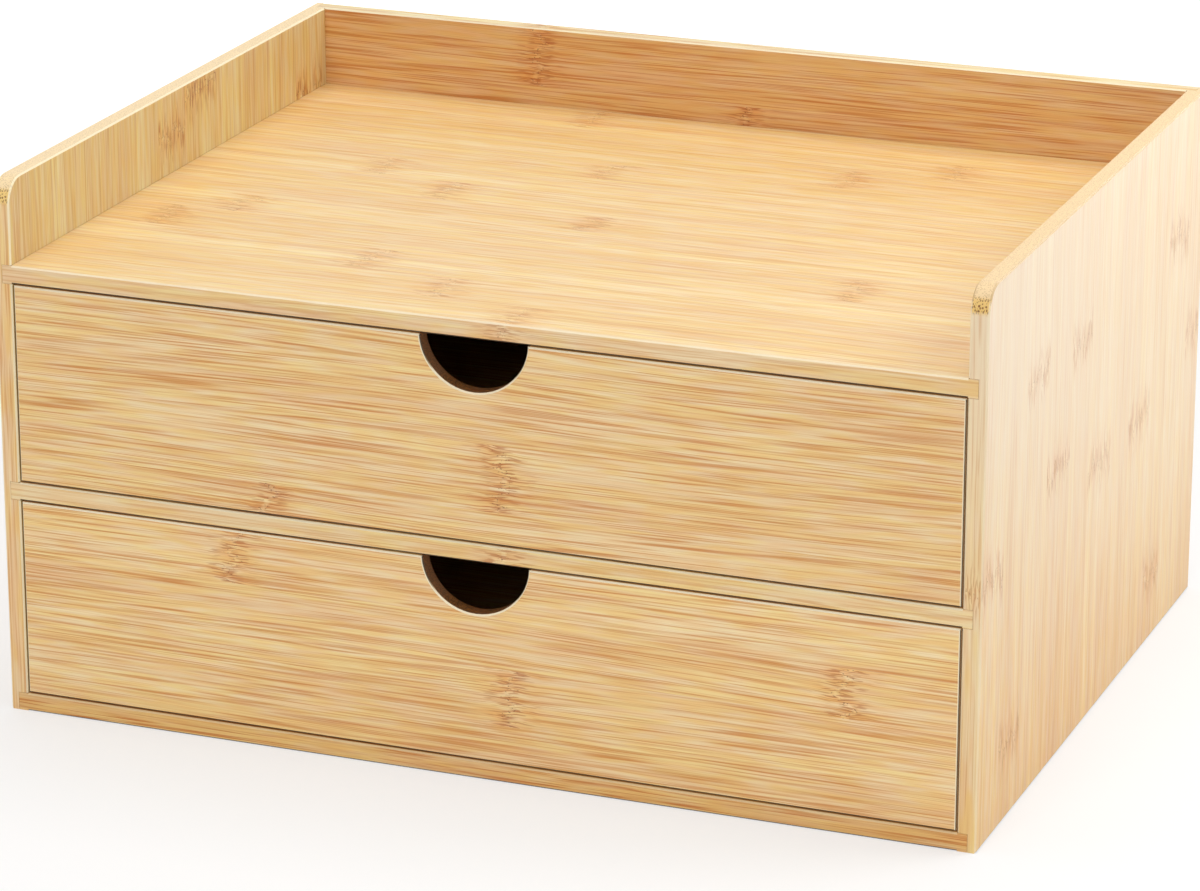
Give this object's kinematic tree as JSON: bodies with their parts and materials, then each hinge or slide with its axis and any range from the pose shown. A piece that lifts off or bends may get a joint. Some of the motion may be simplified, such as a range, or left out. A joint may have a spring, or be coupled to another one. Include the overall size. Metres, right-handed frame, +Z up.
{
  "type": "desktop drawer organizer",
  "caption": "Low desktop cabinet of thin bamboo boards: an open-fronted tray on top and stacked flush drawers with half-round finger pulls below.",
  "frame": {"origin": "middle of the footprint, on the surface the case stands on", "axes": "+X along the width, +Y towards the back panel, +Z up; the drawers open towards -Y"},
  "size_m": [0.33, 0.25, 0.18],
  "materials": {
    "side_bamboo": "satin lacquered bamboo, vertical grain",
    "shelf_bamboo": "satin lacquered bamboo, grain along the width",
    "back_bamboo": "satin lacquered bamboo, grain along the width",
    "front_bamboo": "satin lacquered bamboo, grain along the width",
    "box_bamboo": "sanded bamboo, grain along the board",
    "thin_bamboo": "sanded thin bamboo sheet"
  },
  "bodies": {
    "case": {"side_left": "side_bamboo", "side_right": "side_bamboo", "tray_shelf": "shelf_bamboo", "divider_shelf": "shelf_bamboo", "bottom_panel": "shelf_bamboo", "back_panel": "back_bamboo"},
    "upper_drawer": {"upper_drawer_front": "front_bamboo", "upper_drawer_left_side": "box_bamboo", "upper_drawer_right_side": "box_bamboo", "upper_drawer_back": "box_bamboo", "upper_drawer_bottom": "thin_bamboo"},
    "lower_drawer": {"lower_drawer_front": "front_bamboo", "lower_drawer_left_side": "box_bamboo", "lower_drawer_right_side": "box_bamboo", "lower_drawer_back": "box_bamboo", "lower_drawer_bottom": "thin_bamboo"}
  },
  "joints": [
    {"name": "upper_drawer_slide", "type": "slide", "parent": "case", "child": "upper_drawer", "axis": [0, -1, 0], "range_m": [0, 0.2]},
    {"name": "lower_drawer_slide", "type": "slide", "parent": "case", "child": "lower_drawer", "axis": [0, -1, 0], "range_m": [0, 0.2]}
  ]
}
